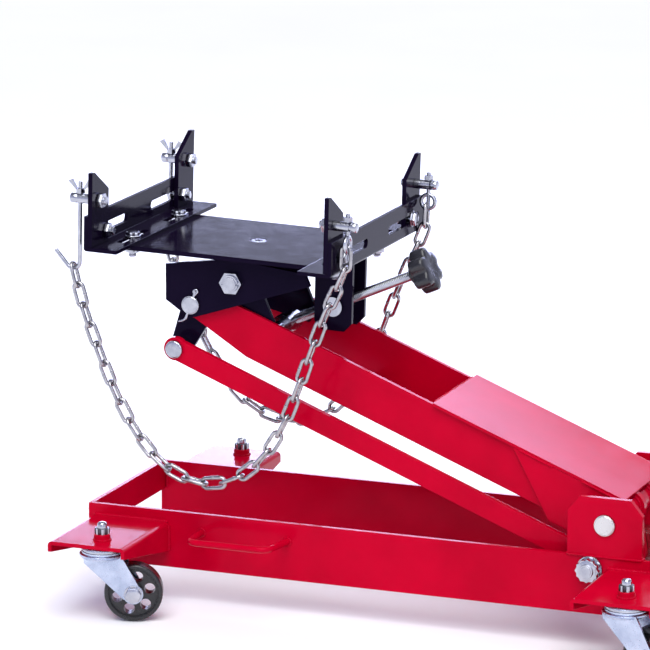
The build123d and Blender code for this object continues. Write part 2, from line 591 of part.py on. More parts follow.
# ---------------------------------------------------------------- hydraulic unit
def make_hydraulics():
    between = HALF - RAIL_THICKNESS
    plate = box(795, 948, -between, between, RAIL_BOTTOM, RAIL_BOTTOM + 8)
    add("power_unit_plate", plate)
    barrel_hole = rod((700, 0, RAM_Z), (1000, 0, RAM_Z), 31.0 + FREE)
    for x0, x1 in ((800, 822), (880, 948)):
        block = box(x0, x1, -38, 38, RAIL_BOTTOM + 8, 140) - barrel_hole
        add("power_unit_blocks", block)

    cylinder = rod((790, 0, RAM_Z), (952, 0, RAM_Z), 31.0)
    cylinder -= rod((780, 0, RAM_Z), (944, 0, RAM_Z), 14.0 + RUN)
    add("ram_cylinder", cylinder)

    lean = math.radians(CRANK_LEAN)
    yoke_x = PIVOT_X + CRANK_RADIUS * math.sin(lean)
    yoke = box(yoke_x - 22, yoke_x + 22, -19, 19, RAM_Z - 22, RAM_Z + 22)
    yoke -= box(yoke_x - 9.5, yoke_x + 9.5, -30, 30, RAM_Z - 14, RAM_Z + 14)
    ram = rod((yoke_x + 22, 0, RAM_Z), (918, 0, RAM_Z), 14.0)
    add("lift_ram", yoke, ram)

    pump = Pos(905, 0, 140) * extrude(Circle(16), 28)
    pump -= Pos(905, 0, 144) * extrude(Circle(8 + RUN), 40)
    add("power_unit_blocks", pump)

    pivot = (940, 205)
    plunger_top = pivot[1] - 8 - FREE
    plunger = Pos(905, 0, 145) * extrude(Circle(8), plunger_top - 4 - 145)
    plunger += Pos(905, 0, plunger_top - 4) * extrude(Circle(11), 4)
    add("pump_plunger", plunger)

    for side in (-1, 1):
        ear = plate_y([(924, 140), (956, 140), (956, 204), (924, 204)], side * 26, side * 32,
                      [(pivot[0], pivot[1], 16)])
        ear -= rod_y(pivot[0], pivot[1], -50, 50, 7 + FREE)
        add("handle_bracket", ear)
    pivot_pin = rod_y(pivot[0], pivot[1], -36, 36, 7)
    pivot_pin += rod_y(pivot[0], pivot[1], -37, -32, 10)
    pivot_pin += rod_y(pivot[0], pivot[1], 32, 37, 10)
    add("handle_bracket", pivot_pin)

    # Handle socket: a cross tube on the pivot, a nose that works the plunger, a socket tube.
    back = math.radians(HANDLE_LEAN)
    dx = math.sin(back)
    dz = math.cos(back)

    def on_handle(distance):
        return (pivot[0] + distance * dx, 0, pivot[1] + distance * dz)

    socket = rod_y(pivot[0], pivot[1], -25.7, 25.7, 14)
    for side in (-1, 1):
        socket += plate_y([(pivot[0], pivot[1] - 9), (pivot[0], pivot[1] + 9), (905, pivot[1] + 7),
                           (905, pivot[1] - 7)], side * 12, side * 18, [(905, pivot[1], 7.5)])
    socket += rod_y(905, pivot[1], -18, 18, 4)
    socket += rod_y(905, pivot[1], -11, 11, 8)
    socket += rod(on_handle(6), on_handle(120), 19)
    socket -= rod(on_handle(30), on_handle(130), 16 + FREE)
    socket -= rod_y(pivot[0], pivot[1], -50, 50, 7 + RUN)
    clamp = on_handle(98)
    across = Vector(dz, 0, -dx)
    tip = (clamp[0] + across.X * 38, 0, clamp[2] + across.Z * 38)
    root = (clamp[0] + across.X * 18, 0, clamp[2] + across.Z * 18)
    screw = rod(root, tip, 5) + rod((clamp[0] + across.X * 30, 0, clamp[2] + across.Z * 30), tip, 11)
    add("handle_socket", socket, screw)

    handle = rod(on_handle(30.5), on_handle(760), 16)
    handle -= rod(on_handle(20), on_handle(770), 13.5)
    add("pump_handle", handle)
    grip = rod(on_handle(640), on_handle(768), 19)
    grip -= rod(on_handle(630), on_handle(764), 16 + FREE)
    grip = fillet(grip.edges().group_by(Axis.Z)[-1], 3)
    add("handle_grip", grip)

    valve = rod_y(915, 96, -38.3, -52, 5)
    valve += rod_y(915, 96, -46, -62, 13)
    valve = fillet(valve.edges().group_by(Axis.Y)[0], 2)
    valve += box(913, 917, -66, -61, 84, 108)
    add("release_valve", valve)


def make_all():
    make_frame()
    for end, x0 in (("front", FRONT_OUTRIGGER_X), ("rear", REAR_OUTRIGGER_X)):
        for word, side in (("left", -1), ("right", 1)):
            make_outrigger(end + "_" + word + "_outrigger", x0, side)
            make_caster(end + "_" + word, x0, side)
    make_arm()
    make_links()
    make_head()
    make_tilt_screw()
    make_saddle()
    make_bracket("front_bracket", FRONT_BRACKET_X, 1)
    make_bracket("rear_bracket", REAR_BRACKET_X, -1)
    for word, side in (("left", -1), ("right", 1)):
        make_posts(word, side)
        make_chain_bolts(word + "_chain_bolts", side)
        make_chain(word + "_chain", side)
    make_hydraulics()


def write_all():
    """Move the origin under the middle of the outline and write one file per node."""
    os.makedirs("parts", exist_ok=True)
    low = min(solid.bounding_box().min.X for name in parts for solid in parts[name])
    high = max(solid.bounding_box().max.X for name in parts for solid in parts[name])
    shift = -round((low + high) / 2, 1)
    print("x shift", round(shift, 4), "length", round(high - low, 2))
    for name, solids in parts.items():
        moved = [Pos(shift, 0, 0) * solid for solid in solids]
        pieces = [piece for solid in moved for piece in solid.solids()]
        node = pieces[0] if len(pieces) == 1 else Compound(pieces)
        export_step(node, os.path.join("parts", name + ".step"))


make_all()
write_all()
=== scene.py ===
# %% [markdown]
# # A transmission jack, finished round its working frame
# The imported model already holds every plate, pin and wheel in its right place. This script gives
# those parts their paint and plating, and adds what a maker adds last: weld beads, threads,
# chamfered nuts, bearing raceways, real chain links, a moulded knob and a ribbed grip.

import json
import math
import random

import bmesh
import bpy
from mathutils import Matrix, Vector


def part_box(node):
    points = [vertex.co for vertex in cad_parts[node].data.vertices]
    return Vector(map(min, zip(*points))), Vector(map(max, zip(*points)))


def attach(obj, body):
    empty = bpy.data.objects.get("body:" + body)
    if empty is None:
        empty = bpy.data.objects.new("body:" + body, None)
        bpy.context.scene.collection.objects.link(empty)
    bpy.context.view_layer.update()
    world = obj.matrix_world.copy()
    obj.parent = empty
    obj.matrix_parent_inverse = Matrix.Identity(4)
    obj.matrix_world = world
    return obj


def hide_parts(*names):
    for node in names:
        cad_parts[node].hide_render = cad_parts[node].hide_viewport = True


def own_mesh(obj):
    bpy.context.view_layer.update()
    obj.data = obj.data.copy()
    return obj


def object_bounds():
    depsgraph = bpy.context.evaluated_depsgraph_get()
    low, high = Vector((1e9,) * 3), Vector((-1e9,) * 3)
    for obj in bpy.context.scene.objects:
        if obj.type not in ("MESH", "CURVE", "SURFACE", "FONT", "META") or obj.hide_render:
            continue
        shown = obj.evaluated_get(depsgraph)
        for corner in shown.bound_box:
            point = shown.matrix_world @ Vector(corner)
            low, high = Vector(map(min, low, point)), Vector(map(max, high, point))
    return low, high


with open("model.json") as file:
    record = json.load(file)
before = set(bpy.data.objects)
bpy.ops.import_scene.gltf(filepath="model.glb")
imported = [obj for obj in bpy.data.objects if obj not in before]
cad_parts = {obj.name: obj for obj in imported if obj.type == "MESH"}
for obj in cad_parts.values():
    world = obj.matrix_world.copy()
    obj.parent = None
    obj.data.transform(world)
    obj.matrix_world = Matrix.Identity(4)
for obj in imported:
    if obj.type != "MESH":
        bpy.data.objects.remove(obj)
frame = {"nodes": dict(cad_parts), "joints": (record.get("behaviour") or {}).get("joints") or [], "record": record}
cad_low, cad_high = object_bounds()
record = frame["record"]
joints = {joint["name"]: joint for joint in frame["joints"]}

# %% [markdown]
# Places on the jack are given in millimetres from the front end of the left frame rail, the way a
# drawing would give them. `at` turns such a place into metres in the model. Pivots come straight
# from the joints, so a bead or a thread can never drift away from the pin that it belongs to.

# %% Places
FRAME_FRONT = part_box("left_rail")[0].x
MM = 0.001
UP = Vector((0, 0, 1))


def at(x, y, z):
    return Vector((FRAME_FRONT + x * MM, y * MM, z * MM))


def pivot(joint_name):
    return Vector(joints[joint_name]["pos_m"])


def turned_to(direction):
    """A rotation that points the Z axis along a direction."""
    return UP.rotation_difference(Vector(direction)).to_matrix().to_4x4()


def placed(origin, direction=(0, 0, 1)):
    return Matrix.Translation(Vector(origin)) @ turned_to(direction)


ARM_ANGLE = math.atan2(pivot("head_level").z - pivot("lift").z, pivot("lift").x - pivot("head_level").x)
print("arm rises", round(math.degrees(ARM_ANGLE), 1), "degrees")

# %% [markdown]
# ## Finishes
# A coat of gloss enamel is never one flat colour. It pools a little thicker in places, its skin
# has a faint orange peel, and a cut plate edge is never perfectly sharp. Two small node groups
# carry the variation, so each finish only chooses how coarse and how strong it is.

# %% Shared effects


def add_group(name, inputs, output):
    """A shader group with float inputs and one float output."""
    group = bpy.data.node_groups.new(name, "ShaderNodeTree")
    for label, value in inputs.items():
        socket = group.interface.new_socket(name=label, in_out="INPUT", socket_type="NodeSocketFloat")
        socket.default_value = value
    group.interface.new_socket(name=output, in_out="OUTPUT", socket_type="NodeSocketFloat")
    entry = group.nodes.new("NodeGroupInput")
    leave = group.nodes.new("NodeGroupOutput")
    return group, entry, leave


mottle, mottle_in, mottle_out = add_group("mottle", {"Scale": 30.0, "Low": 0.0, "High": 1.0}, "Value")
place = mottle.nodes.new("ShaderNodeTexCoord")
cloud = mottle.nodes.new("ShaderNodeTexNoise")
cloud.inputs["Detail"].default_value = 4.0
spread = mottle.nodes.new("ShaderNodeMapRange")
spread.inputs["From Min"].default_value = 0.3
spread.inputs["From Max"].default_value = 0.7
mottle.links.new(place.outputs["Object"], cloud.inputs["Vector"])
mottle.links.new(mottle_in.outputs["Scale"], cloud.inputs["Scale"])
mottle.links.new(cloud.outputs["Fac"], spread.inputs["Value"])
mottle.links.new(mottle_in.outputs["Low"], spread.inputs["To Min"])
mottle.links.new(mottle_in.outputs["High"], spread.inputs["To Max"])
mottle.links.new(spread.outputs["Result"], mottle_out.inputs["Value"])
print("group", mottle.name)

# %% [markdown]
# Turned and drawn metal has fine lines along one direction. Stretching a noise does that: the
# group squeezes the pattern along X and leaves it long along the other two axes.

# %% Fine lines of drawn metal
grain, grain_in, grain_out = add_group("drawn_lines", {"Scale": 60.0, "Stretch": 12.0}, "Height")
place = grain.nodes.new("ShaderNodeTexCoord")
squeeze = grain.nodes.new("ShaderNodeVectorMath")
squeeze.operation = "MULTIPLY"
stretch = grain.nodes.new("ShaderNodeCombineXYZ")
stretch.inputs["X"].default_value = 1.0
stretch.inputs["Z"].default_value = 1.0
lines = grain.nodes.new("ShaderNodeTexNoise")
lines.inputs["Detail"].default_value = 2.0
grain.links.new(grain_in.outputs["Stretch"], stretch.inputs["Y"])
grain.links.new(place.outputs["Object"], squeeze.inputs[0])
grain.links.new(stretch.outputs["Vector"], squeeze.inputs[1])
grain.links.new(squeeze.outputs["Vector"], lines.inputs["Vector"])
grain.links.new(grain_in.outputs["Scale"], lines.inputs["Scale"])
grain.links.new(lines.outputs["Fac"], grain_out.inputs["Height"])
print("group", grain.name)

# %% [markdown]
# One recipe covers every finish on the jack. The colour moves between two close tones, the
# roughness between two values, and a shallow bump gives the skin. The Bevel node rounds the
# light on plate edges, which stands for the small radius that grinding and paint leave.

# %% The recipe for a finish


def make_finish(name, tones, rough, metallic=0.0, mottle_scale=25.0, skin=(900.0, 0.03), coat=0.0,
                ior=1.5, edge=0.7, lines=None, coat_rough=0.06, tint=(1.0, 1.0, 1.0)):
    material = bpy.data.materials.new(name)
    material.use_nodes = True
    nodes = material.node_tree.nodes
    links = material.node_tree.links
    shader = nodes["Principled BSDF"]
    shader.inputs["Metallic"].default_value = metallic
    shader.inputs["IOR"].default_value = ior
    shader.inputs["Specular Tint"].default_value = (*tint, 1)
    shader.inputs["Coat Weight"].default_value = coat
    shader.inputs["Coat Roughness"].default_value = coat_rough

    tone = nodes.new("ShaderNodeGroup")
    tone.node_tree = mottle
    tone.inputs["Scale"].default_value = mottle_scale
    mix = nodes.new("ShaderNodeMix")
    mix.data_type = "RGBA"
    mix.inputs["A"].default_value = (*tones[0], 1)
    mix.inputs["B"].default_value = (*tones[1], 1)
    links.new(tone.outputs["Value"], mix.inputs["Factor"])
    links.new(mix.outputs["Result"], shader.inputs["Base Color"])

    sheen = nodes.new("ShaderNodeGroup")
    sheen.node_tree = mottle
    sheen.inputs["Scale"].default_value = mottle_scale * 3
    sheen.inputs["Low"].default_value = rough[0]
    sheen.inputs["High"].default_value = rough[1]
    links.new(sheen.outputs["Value"], shader.inputs["Roughness"])

    bump = nodes.new("ShaderNodeBump")
    bump.inputs["Distance"].default_value = 0.0006
    bump.inputs["Strength"].default_value = skin[1]
    if lines:
        height = nodes.new("ShaderNodeGroup")
        height.node_tree = grain
        height.inputs["Scale"].default_value = lines[0]
        height.inputs["Stretch"].default_value = lines[1]
        links.new(height.outputs["Height"], bump.inputs["Height"])
    else:
        height = nodes.new("ShaderNodeGroup")
        height.node_tree = mottle
        height.inputs["Scale"].default_value = skin[0]
        links.new(height.outputs["Value"], bump.inputs["Height"])
    if edge:
        rounding = nodes.new("ShaderNodeBevel")
        rounding.samples = 4
        rounding.inputs["Radius"].default_value = edge * MM
        links.new(rounding.outputs["Normal"], bump.inputs["Normal"])
    links.new(bump.outputs["Normal"], shader.inputs["Normal"])
    return material


finishes = {
    "red_paint": make_finish("red_paint", [(0.50, 0.000, 0.018), (0.41, 0.000, 0.014)], (0.10, 0.17),
                             mottle_scale=14.0, ior=1.27, edge=0.9, tint=(1.0, 0.2, 0.4)),
    "black_paint": make_finish("black_paint", [(0.006, 0.003, 0.013), (0.004, 0.002, 0.009)],
                               (0.08, 0.14), mottle_scale=14.0, ior=1.17, edge=0.9,
                               tint=(0.45, 0.42, 0.75)),
    "zinc": make_finish("zinc", [(0.55, 0.56, 0.61), (0.38, 0.39, 0.45)], (0.14, 0.26), metallic=1.0,
                        mottle_scale=90.0, skin=(600.0, 0.05), edge=0.4),
    "fork_zinc": make_finish("fork_zinc", [(0.60, 0.66, 0.80), (0.36, 0.42, 0.56)], (0.18, 0.32),
                             metallic=1.0, mottle_scale=40.0, skin=(500.0, 0.08), edge=0.6),
    "steel": make_finish("steel", [(0.66, 0.65, 0.64), (0.56, 0.55, 0.54)], (0.22, 0.32), metallic=1.0,
                         lines=(140.0, 14.0), skin=(0.0, 0.12), edge=0.5),
    "wheel_black": make_finish("wheel_black", [(0.008, 0.008, 0.010), (0.014, 0.014, 0.016)],
                               (0.24, 0.36), mottle_scale=40.0, skin=(400.0, 0.10), edge=0.6),
    "knob_black": make_finish("knob_black", [(0.012, 0.012, 0.016), (0.020, 0.020, 0.026)],
                              (0.22, 0.30), skin=(700.0, 0.05), edge=0.0),
    "grip_rubber": make_finish("grip_rubber", [(0.022, 0.022, 0.022), (0.034, 0.034, 0.034)],
                               (0.55, 0.70), skin=(500.0, 0.25), edge=0.0),
    "chain_zinc": make_finish("chain_zinc", [(0.50, 0.49, 0.50), (0.32, 0.31, 0.33)], (0.12, 0.26),
                              metallic=1.0, mottle_scale=120.0, skin=(500.0, 0.06), edge=0.0),
}
dark_steel = make_finish("dark_steel", [(0.10, 0.10, 0.12), (0.06, 0.06, 0.07)], (0.30, 0.42), metallic=1.0,
                         mottle_scale=80.0, skin=(500.0, 0.1), edge=0.3)
for row in record["subparts"]:
    node = frame["nodes"][row["node"]]
    node.data.materials.clear()
    node.data.materials.append(finishes[row["material_slot"]])
print("finishes", len(finishes) + 1, "on", len(record["subparts"]), "nodes")

# %% [markdown]
# ## Helpers for new pieces
# Each new piece starts in a bmesh, which is Blender's editable mesh. `lathe` spins an outline of
# radius and height points round Z, the way a turned part is made, and puts it in its place.

# %% Piece helpers


def finish_piece(bm, name, body, slot_name, material=None, sharp=38.0):
    """Weld doubles, point faces outwards, shade, and hang the piece on its body."""
    bmesh.ops.remove_doubles(bm, verts=bm.verts, dist=2e-6)
    bmesh.ops.recalc_face_normals(bm, faces=bm.faces)
    mesh = bpy.data.meshes.new(name)
    bm.to_mesh(mesh)
    bm.free()
    mesh.materials.append(material or finishes[slot_name])
    mesh.shade_smooth()
    mesh.set_sharp_from_angle(angle=math.radians(sharp))
    piece = bpy.data.objects.new(name, mesh)
    bpy.context.scene.collection.objects.link(piece)
    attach(piece, body)
    print(name, len(mesh.polygons), "faces on", body)
    return piece


def lathe(bm, outline, where, closed=False, steps=32):
    """Spin (radius, height) points, in millimetres, round Z and move them to their place."""
    known = set(bm.verts)
    verts = [bm.verts.new((radius * MM, 0, height * MM)) for radius, height in outline]
    edges = [bm.edges.new(pair) for pair in zip(verts, verts[1:])]
    if closed:
        edges.append(bm.edges.new((verts[-1], verts[0])))
    bmesh.ops.spin(bm, geom=verts + edges, cent=(0, 0, 0), axis=(0, 0, 1), dvec=(0, 0, 0),
                   angle=2 * math.pi, steps=steps, use_merge=True, use_normal_flip=False,
                   use_duplicate=False)
    made = [vert for vert in bm.verts if vert not in known]
    bmesh.ops.transform(bm, matrix=where, verts=made)


def hexagon(bm, flats, height, where, chamfer=0.9):
    """A nut or bolt head from Z 0 to its height, with its rims chamfered."""
    known = set(bm.verts)
    corner = flats / math.sqrt(3) * MM
    bmesh.ops.create_cone(bm, cap_ends=True, segments=6, radius1=corner, radius2=corner,
                          depth=height * MM, matrix=Matrix.Translation((0, 0, height * MM / 2)))
    made = [vert for vert in bm.verts if vert not in known]
    rims = {edge for vert in made for edge in vert.link_edges
            if abs(edge.verts[0].co.z - edge.verts[1].co.z) < 1e-6}
    bmesh.ops.bevel(bm, geom=list(rims), offset=chamfer * MM, affect="EDGES", segments=2,
                    profile=0.5, material=-1)
    made = [vert for vert in bm.verts if vert not in known]
    bmesh.ops.transform(bm, matrix=where, verts=made)


def thread(bm, radius, pitch, length, where, depth=0.35, steps=20):
    """A helical ridge round Z: a small triangle spun while it climbs one pitch each turn."""
    known = set(bm.verts)
    turns = max(1, round(length / pitch))
    corners = [(radius - 0.3, 0.06), (radius + depth, pitch * 0.5), (radius - 0.3, pitch * 0.94)]
    verts = [bm.verts.new((r * MM, 0, h * MM)) for r, h in corners]
    edges = [bm.edges.new((verts[k], verts[(k + 1) % 3])) for k in range(3)]
    bm.faces.new(verts)
    grown = bmesh.ops.spin(bm, geom=verts + edges, cent=(0, 0, 0), axis=(0, 0, 1),
                           dvec=(0, 0, pitch * MM / steps), angle=2 * math.pi * turns,
                           steps=turns * steps, use_merge=False, use_normal_flip=False,
                           use_duplicate=False)
    last = [item for item in grown["geom_last"] if isinstance(item, bmesh.types.BMVert)]
    bm.faces.new(last)
    made = [vert for vert in bm.verts if vert not in known]
    bmesh.ops.transform(bm, matrix=where, verts=made)


print("helpers ready")

# %% [markdown]
# ## Weld beads
# A hand weld is a row of overlapping scales, each a frozen drop of the pool. One small flattened
# ball for each scale, set a little over 2 mm from the last and never quite the same size, gives
# the rippled line that runs where two plates meet.

# %% Weld bead helper
BEAD_STEP = 2.3
scatter = random.Random(7)


def bead(bm, points, width=6.0):
    """Scales of weld along straight runs between places in the model."""
    for start, end in zip(points, points[1:]):
        run = end - start
        heading = Vector((1, 0, 0)).rotation_difference(run.normalized()).to_matrix().to_4x4()
        count = max(1, round(run.length / (BEAD_STEP * MM)))
        for k in range(count + 1):
            size = width * MM / 2 * scatter.uniform(0.88, 1.1)
            squash = Matrix.Diagonal((0.85, scatter.uniform(0.9, 1.1), 1.0, 1.0))
            spot = Matrix.Translation(start + run * (k / count)) @ heading @ squash
            bmesh.ops.create_icosphere(bm, subdivisions=1, radius=size, matrix=spot)


def ring_bead(bm, centre, normal, radius, width=5.0):
    """Scales of weld round a bar that stands on a plate."""
    count = max(8, round(2 * math.pi * radius / BEAD_STEP))
    basis = placed(centre, normal)
    for k in range(count):
        angle = 2 * math.pi * k / count
        spot = basis @ Matrix.Translation((radius * MM * math.cos(angle), radius * MM * math.sin(angle), 0))
        size = width * MM / 2 * scatter.uniform(0.88, 1.12)
        bmesh.ops.create_icosphere(bm, subdivisions=1, radius=size, matrix=spot)


print("bead step", BEAD_STEP, "mm")

# %% [markdown]
# The outriggers are welded to the rails along their tops and down their sides. The cross plates
# close the two ends of the frame, and the pivot ears stand on top of the rails.

# %% Frame welds
rail_low, rail_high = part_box("left_rail")
FRAME_HALF = -rail_low.y
for corner in ("front_left", "front_right", "rear_left", "rear_right"):
    low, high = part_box(corner + "_outrigger")
    side = -1 if "left" in corner else 1
    seam_y = side * (FRAME_HALF + 0.001)
    bm = bmesh.new()
    bead(bm, [Vector((low.x + 0.003, seam_y, high.z)), Vector((high.x - 0.003, seam_y, high.z))])
    for x in (low.x, high.x):
        bead(bm, [Vector((x, seam_y, high.z - 0.006)), Vector((x, seam_y, low.z + 0.002))], 5.0)
    finish_piece(bm, corner + "_outrigger_weld", "chassis", "red_paint", sharp=80)

bm = bmesh.new()
inner = FRAME_HALF - 0.006
for x, low_z in ((0.5, 84), (959.5, 47)):
    for side in (-1, 1):
        inside = 8 if x < 400 else -8
        bead(bm, [at(x + inside, 0, low_z) + Vector((0, side * inner, 0)),
                  at(x + inside, 0, 119) + Vector((0, side * inner, 0))], 5.0)
        bead(bm, [at(x, side * (FRAME_HALF / MM - 2), low_z), at(x, side * (FRAME_HALF / MM - 2), 119)], 4.0)
finish_piece(bm, "cross_plate_welds", "chassis", "red_paint", sharp=80)

ear_low, ear_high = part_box("pivot_ears")
bm = bmesh.new()
for side in (-1, 1):
    for y in (side * (FRAME_HALF + 0.0006), side * (FRAME_HALF - 0.0085)):
        bead(bm, [Vector((ear_low.x + 0.002, y, ear_low.z)), Vector((ear_high.x - 0.002, y, ear_low.z))], 4.5)
    for x in (ear_low.x, ear_high.x):
        bead(bm, [Vector((x, side * (FRAME_HALF - 0.001), ear_low.z + 0.0005)),
                  Vector((x, side * (FRAME_HALF - 0.007), ear_low.z + 0.0005))], 5.0)
finish_piece(bm, "pivot_ear_welds", "chassis", "red_paint", sharp=80)

# %% [markdown]
# Each grab handle is a bent round bar whose two ends butt against the rail. A ring of scales
# round each end is what holds it there.

# %% Grab handle welds
grip_low, grip_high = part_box("grab_handles")
BAR = 4.5
bm = bmesh.new()
for side in (-1, 1):
    for x in (161.2, 281.8):
        ring_bead(bm, at(x, side * (FRAME_HALF / MM + 0.5), 96.5), (0, side, 0), BAR + 0.6, 4.2)
finish_piece(bm, "grab_handle_welds", "chassis", "red_paint", sharp=80)

# %% [markdown]
# The doublers stiffen the pivot end of the arm. Their slanted front edges and the long edges of
# the cover plate carry beads. The arm is leaned, so its places are worked out along its length.

# %% Arm welds


def on_arm(along, above, y):
    """A place along the arm from its pivot and above its pin line, in millimetres."""
    cosine = math.cos(ARM_ANGLE)
    sine = math.sin(ARM_ANGLE)
    base = pivot("lift")
    x = base.x - (along * cosine - above * sine) * MM
    z = base.z + (along * sine + above * cosine) * MM
    return Vector((x, y * MM, z))


bm = bmesh.new()
for side in (-1, 1):
    y = side * 78.0
    bead(bm, [on_arm(155, 21, y), on_arm(76.5, -43, y)], 5.0)
    for start in (10, 100, 190):
        bead(bm, [on_arm(start, 24, side * 84), on_arm(start + 46, 24, side * 84)] if start < 150 else
             [on_arm(start, 24, side * 78.5), on_arm(start + 46, 24, side * 78.5)], 4.2)
    for start in (70, 200, 330):
        bead(bm, [on_arm(start, -34, side * 72), on_arm(start + 50, -34, side * 72)], 4.5)
bead(bm, [on_arm(276, 26, -70), on_arm(276, 26, 70)], 4.5)
finish_piece(bm, "arm_welds", "lift_arm", "red_paint", sharp=80)

bm = bmesh.new()
for side in (-1, 1):
    ring_bead(bm, pivot("lift") + Vector((0, side * 0.0838, 0)), (0, 1, 0), 18.5, 4.5)
    ring_bead(bm, pivot("lift") + Vector((0, side * 0.0312, 0)), (0, 1, 0), 18.5, 4.5)
    ring_bead(bm, pivot("lift") + Vector((0, side * 0.0208, 0)), (0, 1, 0), 18.5, 4.5)
finish_piece(bm, "hub_welds", "lift_arm", "red_paint", sharp=80)

# %% [markdown]
# Under the deck, two hinge lugs and the clevis for the tilt screw are welded on, painted black
# with everything else on the saddle. The deck leans by a degree and a half about the tilt hinge,
# so `on_deck` leans the beads by the same angle.

# %% Saddle welds
LEAN = math.radians(1.5)
HINGE = pivot("saddle_tilt")


def on_deck(x, y, z):
    """A place on the saddle, drawn level and then leaned about the tilt hinge."""
    level = at(x, y, z)
    return Matrix.Translation(HINGE) @ Matrix.Rotation(LEAN, 4, "Y") @ Matrix.Translation(-HINGE) @ level


DECK_UNDER = 457.0
HINGE_X = (HINGE.x - FRAME_FRONT) / MM
CLEVIS_X = (pivot("trunnion_turn").x - FRAME_FRONT) / MM
bm = bmesh.new()
for side in (-1, 1):
    for y in (side * 55.6, side * 62.4):
        bead(bm, [on_deck(HINGE_X - 40, y, DECK_UNDER), on_deck(HINGE_X + 40, y, DECK_UNDER)], 4.5)
    bead(bm, [on_deck(CLEVIS_X - 25, side * 26.5, DECK_UNDER - 2), on_deck(CLEVIS_X + 25, side * 26.5, DECK_UNDER - 2)], 5)
for x in (CLEVIS_X - 26.4, CLEVIS_X + 26.4):
    bead(bm, [on_deck(x, -25, DECK_UNDER - 2), on_deck(x, 25, DECK_UNDER - 2)], 5)
finish_piece(bm, "saddle_welds", "saddle", "black_paint", sharp=80)

# %% [markdown]
# ## Nuts, bolts and threads
# A hexagon with sharp rims looks like a drawing. Real heads are chamfered, and where a bolt
# stands past its nut its thread shows. Each chamfered head sits just over the plain one.

# %% Frame fasteners
link_pin = pivot("link_swing")
bm = bmesh.new()
for side in (-1, 1):
    outward = (0, side, 0)
    face = FRAME_HALF + 0.003
    hexagon(bm, 27.4, 11.3, placed((link_pin.x, side * face, link_pin.z), outward), 1.4)
    lathe(bm, [(9.0, 0.2), (16.6, 0.2), (17.0, -0.6), (17.0, -2.4), (16.6, -2.9), (9.0, -2.9)],
          placed((link_pin.x, side * face, link_pin.z), outward), closed=True)
    thread(bm, 9.0, 2.0, 5.0, placed((link_pin.x, side * (FRAME_HALF + 0.0118), link_pin.z), outward), 0.25)
    lathe(bm, [(0, 5.4), (6.6, 5.4), (8.4, 3.6), (8.4, 0.0)],
          placed((link_pin.x, side * (FRAME_HALF + 0.0118), link_pin.z), outward))
finish_piece(bm, "link_pivot_nuts", "chassis", "zinc")

bm = bmesh.new()
for corner in ("front_left", "front_right", "rear_left", "rear_right"):
    stud = pivot(corner + "_swivel")
    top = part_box(corner + "_outrigger")[1].z
    lathe(bm, [(8.2, 0.2), (10.2, 0.2), (10.9, 0.9), (10.9, 7.6), (10.2, 8.4), (6.0, 8.4)],
          placed((stud.x, stud.y, top)))
    ring_bead(bm, Vector((stud.x, stud.y, top + 0.0005)), UP, 10.6, 3.6)
finish_piece(bm, "stud_collars", "chassis", "red_paint")

bm = bmesh.new()
for corner in ("front_left", "front_right", "rear_left", "rear_right"):
    stud = pivot(corner + "_swivel")
    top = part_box(corner + "_outrigger")[1].z
    hexagon(bm, 17.4, 8.0, placed((stud.x, stud.y, top + 0.0083)), 1.1)
finish_piece(bm, "stud_nuts", "chassis", "zinc", dark_steel)

bm = bmesh.new()
for corner in ("front_left", "front_right", "rear_left", "rear_right"):
    stud = pivot(corner + "_swivel")
    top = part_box(corner + "_outrigger")[1].z
    lathe(bm, [(0.0, 8.15), (2.4, 8.0), (4.6, 7.0), (6.2, 5.0), (6.75, 2.6), (6.75, 0.1), (5.0, 0.1)],
          placed((stud.x, stud.y, top + 0.0160)))
finish_piece(bm, "stud_domes", "chassis", "zinc")

# %% [markdown]
# The saddle's bolts: four that hold the bracket feet to the deck, and one through each post. The
# posts slide in the bracket slots, so those heads ride with the posts.

# %% Saddle fasteners
FRONT_FACE = 16.0
REAR_FACE = 359.0
DECK_TOP = 465.0
leaned_up = Matrix.Rotation(LEAN, 3, "Y") @ UP
leaned_x = Matrix.Rotation(LEAN, 3, "Y") @ Vector((1, 0, 0))
bm = bmesh.new()
for face, inward in ((FRONT_FACE, 1), (REAR_FACE, -1)):
    for side in (-1, 1):
        foot = on_deck(face + inward * 29, side * 75, DECK_TOP + 5)
        lathe(bm, [(5.0, 0.1), (10.0, 0.1), (10.4, 0.5), (10.4, 1.4), (10.0, 1.8), (5.0, 1.8)],
              placed(foot, leaned_up), closed=True)
        hexagon(bm, 16.4, 6.3, placed(foot, leaned_up), 0.9)
        under = on_deck(face + inward * 29, side * 75, DECK_UNDER)
        hexagon(bm, 16.4, 8.2, placed(under, -leaned_up), 0.9)
        thread(bm, 5.0, 1.5, 3.8, placed(under - leaned_up * 0.0082, -leaned_up), 0.2)
finish_piece(bm, "bracket_bolt_heads", "saddle", "zinc")

for word, side in (("left", -1), ("right", 1)):
    bm = bmesh.new()
    for face, inward in ((FRONT_FACE, 1), (REAR_FACE, -1)):
        axis = leaned_x * inward
        head = on_deck(face, side * 125, DECK_TOP + 22)
        post = head + axis * 0.0112
        hexagon(bm, 16.5, 6.5, placed(head - axis * 0.0002, -axis), 0.9)
        lathe(bm, [(5.0, 0.1), (10.3, 0.1), (10.7, 0.5), (10.7, 1.5), (5.0, 1.5)],
              placed(head - axis * 0.0002, -axis), closed=True)
        hexagon(bm, 16.5, 8.3, placed(post, axis), 0.9)
        thread(bm, 5.0, 1.5, 4.5, placed(post + axis * 0.0084, axis), 0.22)
    finish_piece(bm, word + "_post_nuts", word + "_posts", "zinc")

# %% [markdown]
# The chain hangs from a hook bolt at the front and an eye bolt at the rear. Both go up through a
# cross barrel and are drawn tight by a nut on top, so their upper ends are threaded.

